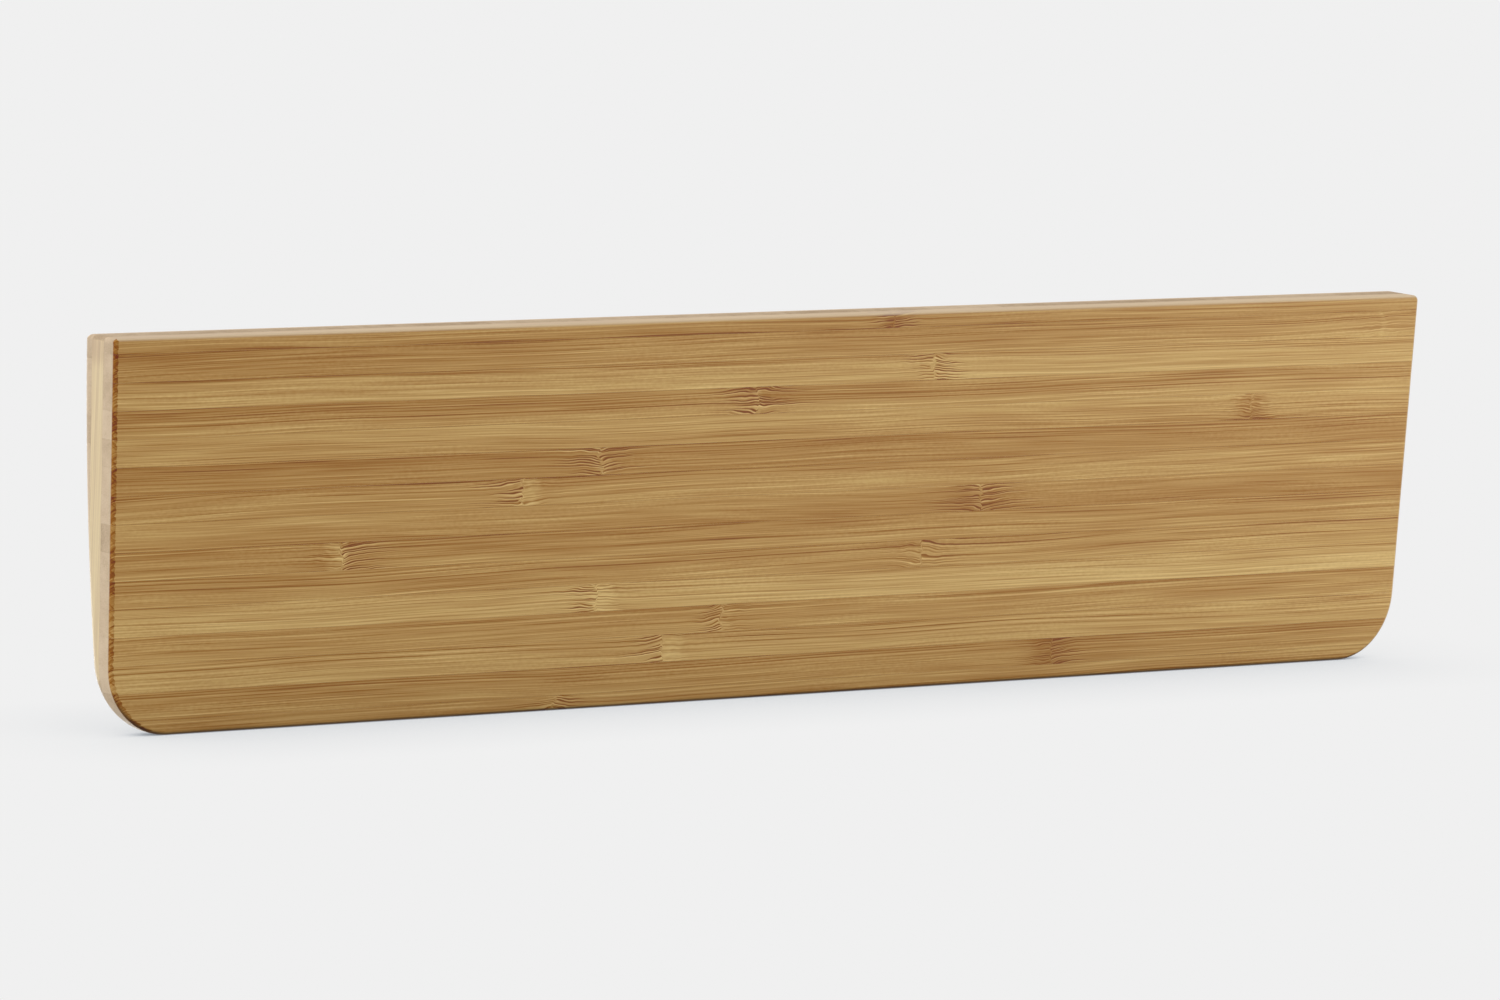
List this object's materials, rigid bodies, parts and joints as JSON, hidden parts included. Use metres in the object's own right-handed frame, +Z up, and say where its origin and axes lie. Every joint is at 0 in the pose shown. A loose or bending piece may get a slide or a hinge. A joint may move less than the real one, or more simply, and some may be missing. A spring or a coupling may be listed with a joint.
{
  "type": "wrist rest",
  "caption": "Flat laminated bamboo palm support that lies along the front edge of a keyboard, with a sloping upper face and rounded front corners.",
  "frame": {"origin": "middle of the underside, on the desk plane", "axes": "+Z up out of the palm face, +Y towards the keyboard, X along the board"},
  "size_m": [0.36, 0.0826, 0.012],
  "materials": {
    "bamboo_face": "fine sanded, satin clear coat, lengthwise strips",
    "bamboo_core": "fine sanded, crosswise slats seen on their edges",
    "bamboo_palm": "fine sanded, satin clear coat, lengthwise strips"
  },
  "bodies": {
    "root": {"core_slat_01": "bamboo_core", "core_slat_02": "bamboo_core", "core_slat_03": "bamboo_core", "core_slat_04": "bamboo_core", "core_slat_05": "bamboo_core", "core_slat_06": "bamboo_core", "core_slat_07": "bamboo_core", "core_slat_08": "bamboo_core", "core_slat_09": "bamboo_core", "core_slat_10": "bamboo_core", "core_slat_11": "bamboo_core", "core_slat_12": "bamboo_core", "core_slat_13": "bamboo_core", "core_slat_14": "bamboo_core", "core_slat_15": "bamboo_core", "core_slat_16": "bamboo_core", "core_slat_17": "bamboo_core", "core_slat_18": "bamboo_core", "palm_strip_01": "bamboo_palm", "palm_strip_02": "bamboo_palm", "palm_strip_03": "bamboo_palm", "palm_strip_04": "bamboo_palm", "palm_strip_05": "bamboo_palm", "palm_strip_06": "bamboo_palm", "palm_strip_07": "bamboo_palm", "palm_strip_08": "bamboo_palm", "palm_strip_09": "bamboo_palm", "palm_strip_10": "bamboo_palm", "palm_strip_11": "bamboo_palm", "under_strip_01": "bamboo_face", "under_strip_02": "bamboo_face", "under_strip_03": "bamboo_face", "under_strip_04": "bamboo_face", "under_strip_05": "bamboo_face", "under_strip_06": "bamboo_face", "under_strip_07": "bamboo_face", "under_strip_08": "bamboo_face", "under_strip_09": "bamboo_face", "under_strip_10": "bamboo_face", "under_strip_11": "bamboo_face", "under_strip_12": "bamboo_face", "under_strip_13": "bamboo_face", "under_strip_14": "bamboo_face", "under_strip_15": "bamboo_face"}
  },
  "joints": []
}
